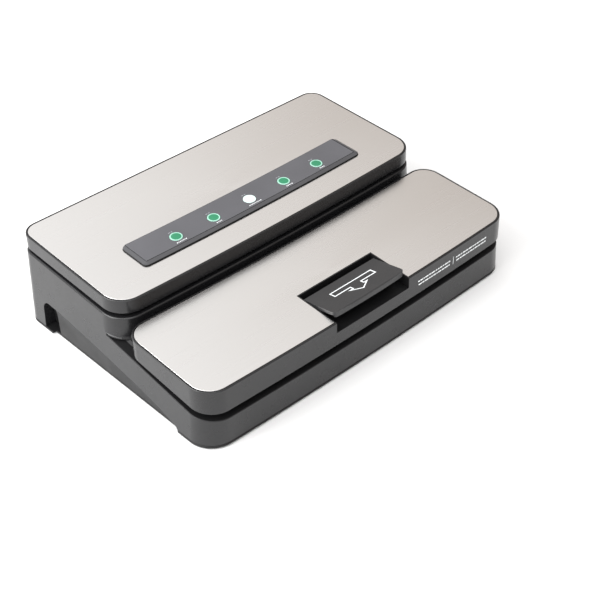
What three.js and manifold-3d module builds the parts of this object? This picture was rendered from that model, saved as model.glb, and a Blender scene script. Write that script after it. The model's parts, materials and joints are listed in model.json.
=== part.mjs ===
// Twin-lid countertop vacuum sealer, in millimetres, +Z up.
// +X runs to the right, -Y is the front, and the origin is on the table under the middle of the machine.
import * as THREE from 'three';
import Module from 'manifold-3d';
import { mergeVertices } from 'three/addons/utils/BufferGeometryUtils.js';

const wasm = await Module();
wasm.setup();

// ---- driving dimensions ----
const GAP = 0.3;
const WALL = 2.4;
const ARC_STEPS = 4;

const BASE = { half: 198, front: -140.3, bow: 3.5, rear: 141, rearBow: 0, radius: 26, rearRadius: 15 };
const BLOCK = { half: 198, front: -18.5, bow: 3.6, rear: 141, rearBow: 0, radius: 26, rearRadius: 15 };
const PAN_BOTTOM = 1.5;
const PAN_TOP = 4;
const SIDE_DRAFT = 0.062;
const REAR_DRAFT = 0.012;
const deckZ = (y) => 33.5 + 0.145 * (y + 140.5);
const blockTopZ = (y) => 74 + 0.06 * (y + 15.5);

const REAR_LID = { half: 192, front: -18.3, bow: 3.6, rear: 140, rearBow: 0, radius: 25, rearRadius: 16 };
const rearLidTopZ = (y) => 93.1 + 0.0572 * (y + 12.7);
const rearLidBottomZ = (y) => 78.6 + 0.05 * (y + 14.5);

const FRONT_LID = {
  half: 196, front: -141, bow: 3.75, rear: -26.1, rearBow: 3.45, radius: 24, rearRadius: 20,
};
const frontLidTopZ = (y) => 66 + 0.0669 * (y + 135.2);
const frontLidBottomZ = (y) => 40 + 0.11 * (y + 140.5);

const RIM_WIDTH = 2;
const PLATE_THICKNESS = 1;
const SKIN = 2;
const LINER_RISE = 1.5;
const LINER_THICKNESS = 2;

const REAR_HINGE = { y: 137.5, z: 86.5, radius: 3.5, lugs: [92, 104], knuckle: [104.6, 121] };
const FRONT_HINGE = { y: -29.5, z: 66, radius: 3.5, lugs: [146, 152], knuckle: [152.6, 165] };
const PIN_RADIUS = 1.5;
const PIN_BORE = 1.8;

const PANEL = { half: 138.5, front: 11.8, bow: 1.9, rear: 49.7, rearBow: 1.9, radius: 5, rearRadius: 5 };
const PANEL_RISE = 2.8;
const PANEL_BEVEL_WIDTH = 3.6;
const PANEL_BEVEL_DROP = 1.2;
const BUTTON_PITCH = 45.4;
const BUTTON_RADIUS = 6.4;
const buttonY = (x) => 27.8 + 3.6 * (x / 190) ** 2;

const NOTCH = { half: 47, rear: -90.8, floor: 54.4, rim: 0.9 };
const HANDLE = {
  half: 45.6, rear: -95.5, front: -137, rearDrop: 2, frontRise: 7.5, thickness: 3.4,
  pivotY: -98, pivotZ: 63.6,
};
const LATCH = { y: -108.5, z: 49.8, radius: 2, hookX: 176, hookWidth: 6 };

const TROUGH = { half: 148, front: -84, rear: -50, floor: 22 };
const GASKET = { half: 160, front: -95, rear: -39, width: 6, radius: 14 };
const HEATER = { half: 155, y: -112.5, width: 10 };

const ROLL = { half: 152, y: 90, z: 60, radius: 36 };
const RAIL = { half: 165, front: 38, rear: 49.5, height: 3.1 };

// ---- colours ----
const finish = (color, roughness, metalness) => new THREE.MeshStandardMaterial(
  { color, roughness, metalness },
);
const BLACK = finish(0x1d1d20, 0.42, 0);
const DARK = finish(0x101012, 0.5, 0);
const STEEL = finish(0xd6d0c8, 0.32, 1);
const ZINC = finish(0xa9abad, 0.4, 1);
const PANEL_GREY = finish(0x5d5d62, 0.45, 0);
const GREEN = finish(0x4aa87c, 0.4, 0);
const WHITE = finish(0xe8f2ee, 0.4, 0);
const RUBBER = finish(0x26272a, 0.85, 0);
const SILICONE = finish(0x6e7478, 0.7, 0);
const TAPE = finish(0x9a6a35, 0.6, 0);
const COPPER = finish(0xb06a3a, 0.4, 0.8);
const BOARD = finish(0x1f5d3a, 0.5, 0);

const machine = new THREE.Group();

// ---- solid helpers ----
function solidOf(geometry) {
  const plain = geometry.clone();
  plain.deleteAttribute('normal');
  plain.deleteAttribute('uv');
  const merged = mergeVertices(plain, 1e-4);
  return new wasm.Manifold(new wasm.Mesh({
    numProp: 3,
    vertProperties: Float32Array.from(merged.attributes.position.array),
    triVerts: Uint32Array.from(merged.index.array),
  }));
}

function addPart(name, solid, material) {
  const mesh = solid.getMesh();
  const geometry = new THREE.BufferGeometry();
  geometry.setAttribute('position', new THREE.BufferAttribute(mesh.vertProperties, mesh.numProp));
  geometry.setIndex(new THREE.BufferAttribute(mesh.triVerts, 1));
  geometry.computeVertexNormals();
  const part = new THREE.Mesh(geometry, material);
  part.name = name;
  machine.add(part);
}

const join = (...solids) => solids.reduce((all, one) => all.add(one));
const cut = (solid, ...tools) => tools.reduce((left, tool) => left.subtract(tool), solid);

function box(x0, x1, y0, y1, z0, z1) {
  const shape = new THREE.BoxGeometry(x1 - x0, y1 - y0, z1 - z0);
  shape.translate((x0 + x1) / 2, (y0 + y1) / 2, (z0 + z1) / 2);
  return solidOf(shape);
}

function rodX(x0, x1, y, z, radius, sides = 16) {
  const shape = new THREE.CylinderGeometry(radius, radius, x1 - x0, sides);
  shape.rotateZ(Math.PI / 2);
  shape.translate((x0 + x1) / 2, y, z);
  return solidOf(shape);
}

function rodZ(x, y, z0, z1, radius, sides = 16) {
  const shape = new THREE.CylinderGeometry(radius, radius, z1 - z0, sides);
  shape.rotateX(Math.PI / 2);
  shape.translate(x, y, (z0 + z1) / 2);
  return solidOf(shape);
}

// An outline in YZ, drawn as [y, z] points, pushed from x0 to x1.
function profileX(points, x0, x1) {
  const shape = new THREE.Shape(points.map(([y, z]) => new THREE.Vector2(y, z)));
  const solid = new THREE.ExtrudeGeometry(shape, { depth: x1 - x0, bevelEnabled: false });
  solid.rotateY(Math.PI / 2);
  solid.rotateX(Math.PI / 2);
  solid.translate(x0, 0, 0);
  return solidOf(solid);
}

// One edge of a plan outline: a shallow arc across the width, with the corner circles that meet it.
// edgeY is on the centre line, centreY is the arc's centre, and facing is 1 where the corners lie inside
// the arc's circle and -1 where they lie outside it.
function bowedEdge(half, edgeY, bow, radius, facing) {
  const arcRadius = (half ** 2 + bow ** 2) / (2 * bow);
  const centreY = edgeY + arcRadius;
  const cornerX = half - radius;
  const cornerY = centreY - Math.sqrt((arcRadius - facing * radius) ** 2 - cornerX ** 2);
  return { arcRadius, centreY, cornerX, cornerY, angle: Math.atan2(cornerY - centreY, cornerX) };
}

// Plan outline of a lid or of the base: a front that bows forwards or is straight, straight sides,
// and a rear that is straight or bows the same way. front and rear are on the centre line.
function planOutline({ half, front, bow, rear, rearBow, radius, rearRadius }) {
  const shape = new THREE.Shape();
  let cornerX = half - radius;
  let cornerY = front + radius;
  let start = -Math.PI / 2;
  if (bow > 0) {
    const edge = bowedEdge(half, front, bow, radius, 1);
    ({ cornerX, cornerY } = edge);
    start = edge.angle;
    shape.absarc(0, edge.centreY, edge.arcRadius, -Math.PI - start, start, false);
  }
  shape.absarc(cornerX, cornerY, radius, start, 0, false);
  if (rearBow > 0) {
    const edge = bowedEdge(half, rear, rearBow, rearRadius, -1);
    const turn = edge.angle + Math.PI;
    shape.absarc(edge.cornerX, edge.cornerY, rearRadius, 0, turn, false);
    shape.absarc(0, edge.centreY, edge.arcRadius, edge.angle, -Math.PI - edge.angle, true);
    shape.absarc(-edge.cornerX, edge.cornerY, rearRadius, Math.PI - turn, Math.PI, false);
  } else {
    const rearX = half - rearRadius;
    shape.absarc(rearX, rear - rearRadius, rearRadius, 0, Math.PI / 2, false);
    shape.absarc(-rearX, rear - rearRadius, rearRadius, Math.PI / 2, Math.PI, false);
  }
  shape.absarc(-cornerX, cornerY, radius, Math.PI, Math.PI - start, false);
  return shape;
}

// The same outline moved inwards by a wall, or outwards when the wall is negative.
function inset(plan, wall, rearWall = wall) {
  return {
    ...plan,
    half: plan.half - wall,
    front: plan.front + wall,
    rear: plan.rear - rearWall,
    radius: plan.radius - wall,
    rearRadius: plan.rearRadius - wall,
  };
}

function outlinePoints(plan) {
  const points = planOutline(plan).getPoints(ARC_STEPS);
  return points.filter((point, i) => point.distanceTo(points[(i + 1) % points.length]) > 1e-4);
}

// A solid between stacked outlines. Each level is { plan, z }, where z is a height or a function of y.
function stack(levels, shapeXY = (x, y) => [x, y]) {
  const rings = levels.map(({ plan, z }) => outlinePoints(plan).map((p) => {
    const height = typeof z === 'function' ? z(p.y) : z;
    const [x, y] = shapeXY(p.x, p.y, height);
    return [x, y, height];
  }));
  const count = rings[0].length;
  const index = [];
  const cap = THREE.ShapeUtils.triangulateShape(outlinePoints(levels[0].plan), []);
  const top = (rings.length - 1) * count;
  for (const [a, b, c] of cap) {
    index.push(a, c, b);
    index.push(top + a, top + b, top + c);
  }
  for (let level = 0; level + 1 < rings.length; level += 1) {
    for (let i = 0; i < count; i += 1) {
      const low = level * count + i;
      const lowNext = level * count + ((i + 1) % count);
      index.push(low, lowNext, lowNext + count);
      index.push(low, lowNext + count, low + count);
    }
  }
  const geometry = new THREE.BufferGeometry();
  geometry.setAttribute('position', new THREE.Float32BufferAttribute(rings.flat(2), 3));
  geometry.setIndex(index);
  return solidOf(geometry);
}

const prism = (plan, bottom, top, shapeXY) => stack([{ plan, z: bottom }, { plan, z: top }], shapeXY);

// Moulding draft: the sides and the rear of the base lean in as they rise.
function drafted(x, y, z) {
  const rise = z - PAN_BOTTOM;
  const rear = y > 0 ? REAR_DRAFT * rise * (y / BASE.rear) : 0;
  return [x * (1 - (SIDE_DRAFT * rise) / BASE.half), y - rear];
}

const shifted = (heightAt, offset) => (y) => heightAt(y) + offset;
const bothSides = (make) => [-1, 1].map((side) => make(side));
const span = (side, a, b) => [Math.min(side * a, side * b), Math.max(side * a, side * b)];

// A rounded rectangle as a plan, for gaskets and trays.
const rectPlan = (half, front, rear, radius) => ({
  half, front, bow: 0, rear, rearBow: 0, radius, rearRadius: radius,
});

// ---- base ----
const RECESS_FACE = 194;
const RECESS = [
  [100, -1], [100, 35.6], [84, 35.4], [46.4, 31.2], [4.8, 25.9], [-34.5, 20.2], [-70, 13.6], [-92.5, 7],
  [-95.5, -1],
];
const GRIP = { front: 91, rear: 111, top: 36, face: 186 };

function gripOutline(grow) {
  const middle = (GRIP.front + GRIP.rear) / 2;
  const radius = (GRIP.rear - GRIP.front) / 2 + grow;
  const points = [[middle - radius, -1], [middle + radius, -1]];
  const arcSteps = 8;
  for (let i = 0; i <= arcSteps; i += 1) {
    const angle = (Math.PI * i) / arcSteps;
    points.push([middle + radius * Math.cos(angle), GRIP.top + grow - radius * (1 - Math.sin(angle))]);
  }
  return points;
}

const sideRecess = (side) => profileX(RECESS, ...span(side, RECESS_FACE, 210));
const sideGrip = (side) => profileX(gripOutline(0), ...span(side, GRIP.face, 210));

function sideBacking(side) {
  const behindRecess = profileX(RECESS, ...span(side, RECESS_FACE - WALL, 200));
  const behindGrip = profileX(gripOutline(WALL), ...span(side, GRIP.face - WALL, 200));
  return join(behindRecess, behindGrip);
}

const FOOT = { radius: 9, pocket: 1, front: { x: 168, y: -112 }, rear: { x: 168, y: 124 } };
const SCREW = { headRadius: 3, shankRadius: 1.5, front: { x: 150, y: -129 }, rear: { x: 171, y: 98 } };
const corners = (item, visit) => bothSides((side) => [item.front, item.rear].map(
  (at) => visit(side * at.x, at.y),
)).flat();

const INLET = { x: -128, z: 25, width: 30, height: 22 };
const INLET_SOCKET = { width: 24, height: 16, depth: 13 };
const inletBox = (width, height, y0, y1) => box(
  INLET.x - width / 2, INLET.x + width / 2, y0, y1, INLET.z - height / 2, INLET.z + height / 2,
);

function hookSlot(side) {
  const [x0, x1] = span(side, LATCH.hookX - 5, LATCH.hookX + 5);
  return box(x0, x1, -125.5, -99.5, 20, 60);
}

const SWITCH = { x: 176, y: -70, radius: 2, travel: 2 };

function baseLug(side, hinge, foot) {
  const [x0, x1] = span(side, ...hinge.lugs);
  return join(
    rodX(x0, x1, hinge.y, hinge.z, hinge.radius),
    box(x0, x1, hinge.y - hinge.radius, hinge.y + hinge.radius, foot, hinge.z),
  );
}

const pinBore = (side, hinge) => rodX(
  ...span(side, hinge.lugs[0] - 5, hinge.knuckle[1] + 5), hinge.y, hinge.z, PIN_BORE,
);

function lowerHousing() {
  const bottom = PAN_TOP + GAP;
  const outer = join(
    prism(BASE, bottom, deckZ, drafted),
    prism(BLOCK, bottom, blockTopZ, drafted),
  );
  const hollow = join(
    prism(inset(BASE, WALL), bottom - 1, shifted(deckZ, -WALL), drafted),
    prism(inset(BLOCK, WALL), bottom - 1, shifted(blockTopZ, -WALL), drafted),
  );
  const backing = join(...bothSides(sideBacking)).intersect(outer);
  const bosses = join(...corners(SCREW, (x, y) => rodZ(x, y, bottom, 90, 4, 12))).intersect(outer);
  const lugs = join(
    ...bothSides((side) => baseLug(side, REAR_HINGE, 79)),
    ...bothSides((side) => baseLug(side, FRONT_HINGE, 48)),
  );
  const knuckleRoom = bothSides((side) => rodX(
    ...span(side, REAR_HINGE.knuckle[0] - 0.5, REAR_HINGE.knuckle[1] + 0.5),
    REAR_HINGE.y, REAR_HINGE.z, REAR_HINGE.radius + 0.8,
  ));
  return cut(
    join(cut(outer, hollow), backing, bosses, lugs),
    ...bothSides(sideRecess),
    ...bothSides(sideGrip),
    ...knuckleRoom,
    ...bothSides((side) => pinBore(side, REAR_HINGE)),
    ...bothSides((side) => pinBore(side, FRONT_HINGE)),
    ...corners(SCREW, (x, y) => rodZ(x, y, 0, 20, SCREW.shankRadius + 0.3, 12)),
    box(-ROLL.half, ROLL.half, ROLL.y - ROLL.radius, ROLL.y + ROLL.radius, ROLL.z, 100),
    box(-TROUGH.half, TROUGH.half, TROUGH.front, TROUGH.rear, 30, 60),
    box(-HEATER.half, HEATER.half, HEATER.y - HEATER.width / 2, HEATER.y + HEATER.width / 2, 30, 60),
    ...bothSides(hookSlot),
    rodZ(SWITCH.x, SWITCH.y, 30, 60, SWITCH.radius + 0.4, 12),
    inletBox(INLET.width, INLET.height, 120, 150),
  );
}

function bottomPan() {
  const vents = [];
  for (let i = 0; i < 6; i += 1) {
    const x = -110 + i * 9;
    vents.push(box(x, x + 4.5, -4, 30, 0, 6));
  }
  return cut(
    prism(BASE, PAN_BOTTOM, PAN_TOP, drafted),
    ...bothSides(sideRecess),
    ...corners(FOOT, (x, y) => rodZ(x, y, 0, PAN_BOTTOM + FOOT.pocket, FOOT.radius + GAP, 20)),
    ...corners(SCREW, (x, y) => rodZ(x, y, 0, PAN_TOP + 1, SCREW.shankRadius + 0.3, 12)),
    ...corners(SCREW, (x, y) => rodZ(x, y, 0, PAN_BOTTOM + 1.2, SCREW.headRadius + GAP, 12)),
    ...vents,
  );
}

function rollTray() {
  const { half, y, z, radius } = ROLL;
  const tray = (r, x) => join(
    rodX(-x, x, y, z, r, 32).intersect(box(-x, x, y - r, y + r, z - r - 1, z)),
    box(-x, x, y - r, y + r, z - 0.1, 100),
  );
  const lipOuter = box(-half - 3, half + 3, y - radius - 3, y + radius + 3, 60, 100);
  const above = (offset) => prism(rectPlan(half + 20, -10, 138, 5), shifted(blockTopZ, offset), 120);
  const shell = join(
    cut(tray(radius - 0.4, half - 0.4), above(GAP + 0.2)),
    cut(lipOuter.intersect(above(GAP)), above(GAP + 1.5)),
  );
  return cut(shell, tray(radius - 2.2, half - 2.2));
}

function cutterRail() {
  const { half, front, rear, height } = RAIL;
  const low = shifted(blockTopZ, GAP);
  const bar = prism(rectPlan(half, front, rear, 2), low, blockTopZ(front) + GAP + height);
  const middle = (front + rear) / 2;
  return cut(bar, box(-half + 6, half - 6, middle - 2, middle + 2, blockTopZ(rear) + 0.9, 100));
}

const SLIDER_REST = -150;

function cutterSlider() {
  const middle = (RAIL.front + RAIL.rear) / 2;
  const railTop = blockTopZ(RAIL.front) + GAP + RAIL.height;
  return join(
    box(SLIDER_REST - 8, SLIDER_REST + 8, RAIL.front + 0.5, RAIL.rear - 0.3, railTop + GAP, railTop + 1.9),
    box(SLIDER_REST - 6, SLIDER_REST + 6, middle - 1.5, middle + 1.5, railTop - 1.4, railTop + 1),
  );
}

function cutterBlade() {
  const railTop = blockTopZ(RAIL.front) + GAP + RAIL.height;
  const y = RAIL.rear;
  return box(SLIDER_REST - 4, SLIDER_REST + 4, y + GAP, y + 1.2, railTop - 2, railTop + 1.6);
}

function vacuumTrough() {
  const { half, front, rear, floor } = TROUGH;
  const clear = 0.4;
  const wall = 1.6;
  const tray = prism(rectPlan(half - clear, front + clear, rear - clear, 5), floor, shifted(deckZ, 0.6));
  const brim = rectPlan(half + 3, front - 3, rear + 3, 6);
  const flange = prism(brim, shifted(deckZ, GAP), shifted(deckZ, GAP + 1.1));
  const room = prism(
    rectPlan(half - clear - wall, front + clear + wall, rear - clear - wall, 4), floor + wall, 80,
  );
  return cut(join(tray, flange), room, suctionPort());
}

const PORT = { x: -70, z: 34, radius: 2.5 };

function suctionPort() {
  const hole = new THREE.CylinderGeometry(PORT.radius, PORT.radius, 12, 12);
  hole.translate(PORT.x, TROUGH.rear - 4, PORT.z);
  return solidOf(hole);
}

const linerZ = shifted(frontLidBottomZ, LINER_RISE);
const gasketMidZ = (y) => (deckZ(y) + linerZ(y)) / 2;

function gasketRing(bottom, top) {
  const { half, front, rear, width, radius } = GASKET;
  const outer = prism(rectPlan(half, front, rear, radius), bottom, top);
  const innerPlan = rectPlan(half - width, front + width, rear - width, radius - width);
  return cut(outer, prism(innerPlan, shifted(bottom, -2), shifted(top, 2)));
}

function heaterBar() {
  const { half, y, width } = HEATER;
  const plan = rectPlan(half - 0.4, y - width / 2 + 0.4, y + width / 2 - 0.4, 1.5);
  return prism(plan, shifted(deckZ, -6), shifted(deckZ, 1.8));
}

function sealTape() {
  const { half, y, width } = HEATER;
  const plan = rectPlan(half - 2, y - width / 2 - 0.5, y + width / 2 + 0.5, 1);
  return prism(plan, shifted(deckZ, 1.8 + GAP), shifted(deckZ, 1.8 + GAP + 0.5));
}

const striker = (side) => box(...span(side, LATCH.hookX - 6, LATCH.hookX + 6), -102.3, -92, 32.7, 36.3);

// ---- inside the base ----
const HOSE_START = { x: -116, y: -2, z: 47 };

function pumpBody() {
  const head = box(-152, -108, -8, 32, 6, 40);
  const cap = rodZ(-131, 14, 39, 50, 14.5, 20);
  const spigot = rodZ(HOSE_START.x, HOSE_START.y, 39, HOSE_START.z, 3.5, 12);
  return join(head, cap, spigot);
}

const MOTOR = { y: 12, z: 25, radius: 17, x0: -107.7, x1: -56 };
const FAN = { x0: -55.4, x1: -46, radius: 15 };

function coolingFan() {
  const hub = rodX(FAN.x0, FAN.x1, MOTOR.y, MOTOR.z, 4, 12);
  const blades = [];
  for (let i = 0; i < 6; i += 1) {
    const blade = new THREE.BoxGeometry(7, 1.4, FAN.radius);
    blade.rotateZ(0.5);
    blade.translate(0, 0, FAN.radius / 2);
    blade.rotateX((Math.PI * i) / 3);
    blade.translate((FAN.x0 + FAN.x1) / 2, MOTOR.y, MOTOR.z);
    blades.push(solidOf(blade));
  }
  return join(hub, ...blades);
}

function transformer() {
  return join(
    box(60, 116, -4, 36, 10, 24),
    box(70, 106, -12, 44, 12, 22),
    box(60, 68, -4, 36, 10, 52),
    box(108, 116, -4, 36, 10, 52),
    box(60, 116, -4, 36, 44, 54),
    box(74, 102, -10, 42, 23.5, 44.5),
    box(56, 120, 0, 32, 6, 10.5),
  );
}

function powerBoard() {
  return join(
    box(-70, 60, 62, 120, 8, 9.6),
    box(-60, -40, 70, 90, 9, 20),
    box(-30, -14, 66, 96, 9, 18),
    rodZ(0, 105, 9, 20, 6, 12),
    rodZ(18, 105, 9, 20, 6, 12),
    box(32, 50, 68, 84, 9, 19),
  );
}

function releaseValve() {
  return join(rodZ(0, 8, 6, 30, 9, 16), rodZ(0, 8, 29, 40, 3, 12), box(-12, 12, -2, 18, 6, 12));
}

// A tube of the given radius along a smooth route of [x, y, z] points.
function tubeAlong(route, radius, steps) {
  const path = new THREE.CatmullRomCurve3(route.map((p) => new THREE.Vector3(...p)));
  const section = new THREE.Shape();
  section.absarc(0, 0, radius, 0, Math.PI * 2, false);
  return solidOf(new THREE.ExtrudeGeometry(section, { steps, extrudePath: path, curveSegments: 4 }));
}

function suctionHose() {
  const route = [
    [HOSE_START.x, HOSE_START.y, HOSE_START.z + GAP], [-116, -2, 52], [-108, -2, 57], [-96, -3, 55],
    [-86, -6, 49], [-78, -14, 43], [-72, -26, 38], [PORT.x, -38, 34.5], [PORT.x, TROUGH.rear + 0.2, PORT.z],
  ];
  return tubeAlong(route, 3.2, 18);
}

function powerInlet() {
  const { width, height, depth } = INLET_SOCKET;
  const face = 140.4;
  const body = inletBox(INLET.width - 0.8, INLET.height - 0.8, face - depth - 3, face);
  const socket = inletBox(width, height, face - depth, face + 1);
  const pins = [-7, 0, 7].map((dx) => {
    const lift = dx === 0 ? -2 : 0;
    return box(
      INLET.x + dx - 1, INLET.x + dx + 1, face - depth - 1, face - 2.5,
      INLET.z - 6.5 + lift / 2, INLET.z + 0.5 + lift,
    );
  });
  return join(cut(body, socket), ...pins);
}

const lidSwitch = () => box(
  SWITCH.x - 6, SWITCH.x + 6, SWITCH.y - 9, SWITCH.y + 9, 24, deckZ(SWITCH.y) - 9.5,
);

function switchPlunger() {
  const deck = deckZ(SWITCH.y);
  return rodZ(SWITCH.x, SWITCH.y, deck - 7, deck + 3, SWITCH.radius, 12);
}

// ---- lids ----
// A moulded lid: a rim with a recess for the steel plate on top and open underneath.
function lidFrame(plan, bottomZ, topZ) {
  const edge = 0.7;
  const outer = stack([
    { plan: inset(plan, edge), z: bottomZ },
    { plan, z: shifted(bottomZ, edge) },
    { plan, z: shifted(topZ, -edge) },
    { plan: inset(plan, edge), z: topZ },
  ]);
  const seat = prism(inset(plan, RIM_WIDTH - 0.15), shifted(topZ, -PLATE_THICKNESS - GAP), shifted(topZ, 5));
  const under = prism(
    inset(plan, WALL), shifted(bottomZ, -5), shifted(topZ, -PLATE_THICKNESS - GAP - SKIN),
  );
  return cut(outer, seat, under);
}

const lidPlate = (plan, topZ) => prism(inset(plan, RIM_WIDTH + 0.15), shifted(topZ, -PLATE_THICKNESS), topZ);

const lidLiner = (plan, bottomZ) => prism(
  inset(plan, WALL + GAP), shifted(bottomZ, LINER_RISE), shifted(bottomZ, LINER_RISE + LINER_THICKNESS),
);

// The block of a lid that holds the hinge pin, with room cut for the lug of the base beside it.
function lidKnuckle(side, hinge, top) {
  const [x0, x1] = span(side, ...hinge.knuckle);
  return join(
    rodX(x0, x1, hinge.y, hinge.z, hinge.radius),
    box(x0, x1, hinge.y - hinge.radius, hinge.y + hinge.radius, hinge.z, top),
  );
}

function lugRoom(side, hinge, low, high, front, rear) {
  const [x0, x1] = span(side, hinge.lugs[0] - 0.6, hinge.lugs[1] + 0.5);
  return box(x0, x1, front, rear, low, high);
}

function rearLidFrame() {
  const frame = lidFrame(REAR_LID, rearLidBottomZ, rearLidTopZ);
  const boardOpening = box(-118, 118, 19, 41, 80, 100);
  const rooms = bothSides((side) => lugRoom(side, REAR_HINGE, 70, REAR_HINGE.z + 4, 133, 145));
  const knuckles = bothSides((side) => lidKnuckle(side, REAR_HINGE, 95));
  return cut(
    join(cut(frame, boardOpening, ...rooms), ...knuckles),
    ...bothSides((side) => pinBore(side, REAR_HINGE)),
  );
}

const panelTopZ = shifted(rearLidTopZ, PANEL_RISE);
const BUTTONS = [-2, -1, 0, 1, 2].map((i) => ({
  name: `button_${i + 3}`,
  x: i * BUTTON_PITCH,
  y: buttonY(i * BUTTON_PITCH),
  material: i === 0 ? WHITE : GREEN,
}));

const panelRoom = () => prism(inset(PANEL, -0.4), 80, 120);

function panelBezel() {
  const low = shifted(rearLidTopZ, -PLATE_THICKNESS + 0.1);
  const bezel = stack([
    { plan: PANEL, z: low },
    { plan: PANEL, z: shifted(rearLidTopZ, PANEL_RISE - PANEL_BEVEL_DROP) },
    { plan: inset(PANEL, PANEL_BEVEL_WIDTH, 0.8), z: shifted(rearLidTopZ, PANEL_RISE) },
  ]);
  const holes = BUTTONS.map(({ x, y }) => join(
    rodZ(x, y, panelTopZ(y) - 1.8, panelTopZ(y) + 3, BUTTON_RADIUS + 0.3, 24),
    rodZ(x, y, 80, 105, 2.6, 12),
  ));
  return cut(bezel, ...holes);
}

function button({ x, y }) {
  const top = panelTopZ(y);
  return join(rodZ(x, y, top - 0.9, top + 0.35, BUTTON_RADIUS, 24), rodZ(x, y, top - 7, top - 0.5, 2.1, 12));
}

function buttonBoard() {
  const plan = rectPlan(125, 17, 45, 2);
  return prism(plan, shifted(rearLidTopZ, -6.6), shifted(rearLidTopZ, -5));
}

function rearLidLiner() {
  const rooms = bothSides((side) => box(...span(side, 88, 125), 130, 145, 80, 95));
  return cut(lidLiner(REAR_LID, rearLidBottomZ), ...rooms);
}

const notchBox = (grow, floor, top) => box(
  -NOTCH.half - grow, NOTCH.half + grow, -160, NOTCH.rear + grow, floor, top,
);

function frontLidFrame() {
  const frame = lidFrame(FRONT_LID, frontLidBottomZ, frontLidTopZ);
  const inside = prism(inset(FRONT_LID, 0.8), frontLidBottomZ, shifted(frontLidTopZ, -PLATE_THICKNESS - GAP));
  const wellWalls = notchBox(SKIN, NOTCH.floor - SKIN, 90).intersect(inside);
  const wellRim = notchBox(NOTCH.rim, NOTCH.floor, 90).intersect(
    prism(inset(FRONT_LID, RIM_WIDTH / 2), frontLidBottomZ, frontLidTopZ),
  );
  const knuckles = bothSides((side) => lidKnuckle(side, FRONT_HINGE, 70.5));
  return cut(
    join(frame, wellWalls, wellRim, ...knuckles),
    notchBox(0, NOTCH.floor, 90),
    ...bothSides((side) => lugRoom(side, FRONT_HINGE, 30, FRONT_HINGE.z + 3.4, -35, -15)),
    ...bothSides((side) => pinBore(side, FRONT_HINGE)),
    rodX(-NOTCH.half - 1.2, NOTCH.half + 1.2, HANDLE.pivotY, HANDLE.pivotZ, 1.6, 12),
  );
}

const frontLidPlate = () => cut(lidPlate(FRONT_LID, frontLidTopZ), notchBox(NOTCH.rim + GAP, 40, 90));

function frontLidLiner() {
  const lugSlots = bothSides((side) => lugRoom(side, FRONT_HINGE, 40, 60, -45, -15));
  const hookSlots = bothSides((side) => box(
    ...span(side, LATCH.hookX - 4.5, LATCH.hookX + 4.5), -122, -100, 40, 60,
  ));
  return cut(lidLiner(FRONT_LID, frontLidBottomZ), ...lugSlots, ...hookSlots);
}

function pressStrip() {
  const plan = rectPlan(HEATER.half - 2, HEATER.y - 4, HEATER.y + 4, 2);
  return prism(plan, shifted(deckZ, 1.8 + GAP + 0.5 + GAP), shifted(linerZ, -GAP));
}

function latchShaft() {
  const { y, z, radius, hookX } = LATCH;
  const hooks = bothSides((side) => {
    const [x0, x1] = span(side, hookX - LATCH.hookWidth / 2, hookX + LATCH.hookWidth / 2);
    const outline = [
      [y - 2.5, z + 2.5], [y - 2.5, 28.6], [y + 2, 28.6], [y + 4.4, 31], [y + 2, 31], [y + 2, z + 2.5],
    ];
    return profileX(outline, x0, x1);
  });
  return join(rodX(-hookX - 8, hookX + 8, y, z, radius, 12), ...hooks);
}

// The lever: a flat grip on a pivot near its rear edge. Unlatched, its front edge stands proud of the lid.
function latchHandle() {
  const { half, rear, front, thickness, pivotY, pivotZ } = HANDLE;
  const rearTop = frontLidTopZ(rear) - HANDLE.rearDrop;
  const frontTop = frontLidTopZ(front) + HANDLE.frontRise;
  const outline = [
    [rear, rearTop], [rear + 0.3, rearTop - thickness], [rear - 8, rearTop - thickness - 0.4],
    [front + 3, frontTop - thickness], [front + 2.2, frontTop - thickness - 2.4],
    [front - 0.6, frontTop - thickness - 2.4], [front - 1.2, frontTop - 1.4], [front, frontTop],
  ];
  const grip = profileX(outline, -half, half);
  const barrel = rodX(-half, half, pivotY, pivotZ, 3, 14);
  return cut(join(grip, barrel), rodX(-half - 1, half + 1, pivotY, pivotZ, 1.6, 12));
}

const hingePin = (side, hinge) => rodX(
  ...span(side, hinge.lugs[0] + 0.4, hinge.knuckle[1] - 0.4), hinge.y, hinge.z, PIN_RADIUS, 12,
);

// ---- assembly ----
addPart('lower_housing', lowerHousing(), BLACK);
addPart('bottom_pan', bottomPan(), DARK);
[['left', -1], ['right', 1]].forEach(([hand, side]) => {
  ['front', 'rear'].forEach((end) => {
    const foot = FOOT[end];
    addPart(
      `foot_${end}_${hand}`,
      rodZ(side * foot.x, foot.y, 0, PAN_BOTTOM + FOOT.pocket - GAP, FOOT.radius, 20),
      RUBBER,
    );
    const screw = SCREW[end];
    const shank = rodZ(side * screw.x, screw.y, PAN_BOTTOM, 14, SCREW.shankRadius, 12);
    const head = rodZ(side * screw.x, screw.y, PAN_BOTTOM - 0.2, PAN_BOTTOM + 0.9, SCREW.headRadius, 12);
    addPart(`pan_screw_${end}_${hand}`, join(shank, head), ZINC);
  });
  addPart(`rear_hinge_pin_${hand}`, hingePin(side, REAR_HINGE), ZINC);
  addPart(`front_hinge_pin_${hand}`, hingePin(side, FRONT_HINGE), ZINC);
  addPart(`latch_striker_${hand}`, striker(side), ZINC);
});
addPart('vacuum_trough', vacuumTrough(), DARK);
addPart('lower_gasket', gasketRing(shifted(deckZ, GAP), shifted(gasketMidZ, -0.2)), SILICONE);
addPart('heater_bar', heaterBar(), ZINC);
addPart('seal_tape', sealTape(), TAPE);
addPart('roll_tray', rollTray(), DARK);
addPart('cutter_rail', cutterRail(), BLACK);
addPart('cutter_slider', cutterSlider(), GREEN);
addPart('cutter_blade', cutterBlade(), ZINC);
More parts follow.
